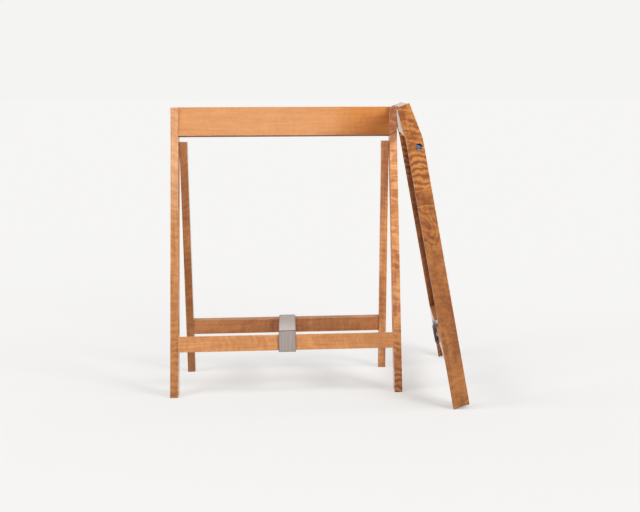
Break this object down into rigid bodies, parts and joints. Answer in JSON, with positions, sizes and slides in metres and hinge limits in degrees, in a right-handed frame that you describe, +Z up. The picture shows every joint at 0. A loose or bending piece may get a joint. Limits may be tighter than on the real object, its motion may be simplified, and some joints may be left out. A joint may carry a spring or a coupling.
{
  "type": "folding table trestle pair",
  "caption": "Pair of folding wooden table trestles: one stands open on its strapped, bolted frames, the other is folded flat and leans on its end.",
  "frame": {"origin": "on the floor, under the middle of the box round both trestles", "axes": "+X along the open trestle's top rail towards the folded one, +Y from the open trestle's front legs to its rear legs, +Z up"},
  "size_m": [0.7618, 0.59, 0.7306],
  "materials": {
    "stained_wood": "stained and lacquered curly hardwood, satin",
    "steel": "zinc plated, satin",
    "webbing": "flat woven webbing, matt"
  },
  "bodies": {
    "open_main_frame": {"open_main_leg_left": "stained_wood", "open_main_leg_right": "stained_wood", "open_top_rail": "stained_wood", "open_main_stretcher": "stained_wood", "open_pivot_bolts": "steel", "open_sleeve_nuts": "steel", "open_spacer_washers": "steel", "open_strap": "webbing"},
    "open_inner_frame": {"open_inner_leg_left": "stained_wood", "open_inner_leg_right": "stained_wood", "open_inner_stretcher": "stained_wood"},
    "folded_main_frame": {"folded_main_leg_left": "stained_wood", "folded_main_leg_right": "stained_wood", "folded_top_rail": "stained_wood", "folded_main_stretcher": "stained_wood", "folded_pivot_bolts": "steel", "folded_sleeve_nuts": "steel", "folded_spacer_washers": "steel", "folded_strap": "webbing"},
    "folded_inner_frame": {"folded_inner_leg_left": "stained_wood", "folded_inner_leg_right": "stained_wood", "folded_inner_stretcher": "stained_wood"}
  },
  "joints": [
    {"name": "open_fold", "type": "hinge", "parent": "open_main_frame", "child": "open_inner_frame", "pos_m": [-0.09093, 0.03089, 0.6164], "axis": [1, 0, 0], "range_deg": [-23.5, 0], "deforming": ["open_strap"]},
    {"name": "folded_carry", "type": "slide", "parent": "open_main_frame", "child": "folded_main_frame", "axis": [1, 0, 0], "range_m": [0, 0.25]},
    {"name": "folded_fold", "type": "hinge", "parent": "folded_main_frame", "child": "folded_inner_frame", "pos_m": [0.24205, 0.0023, 0.62808], "axis": [-0.0663, -0.9978, 0], "range_deg": [0, 23.5], "deforming": ["folded_strap"]}
  ]
}
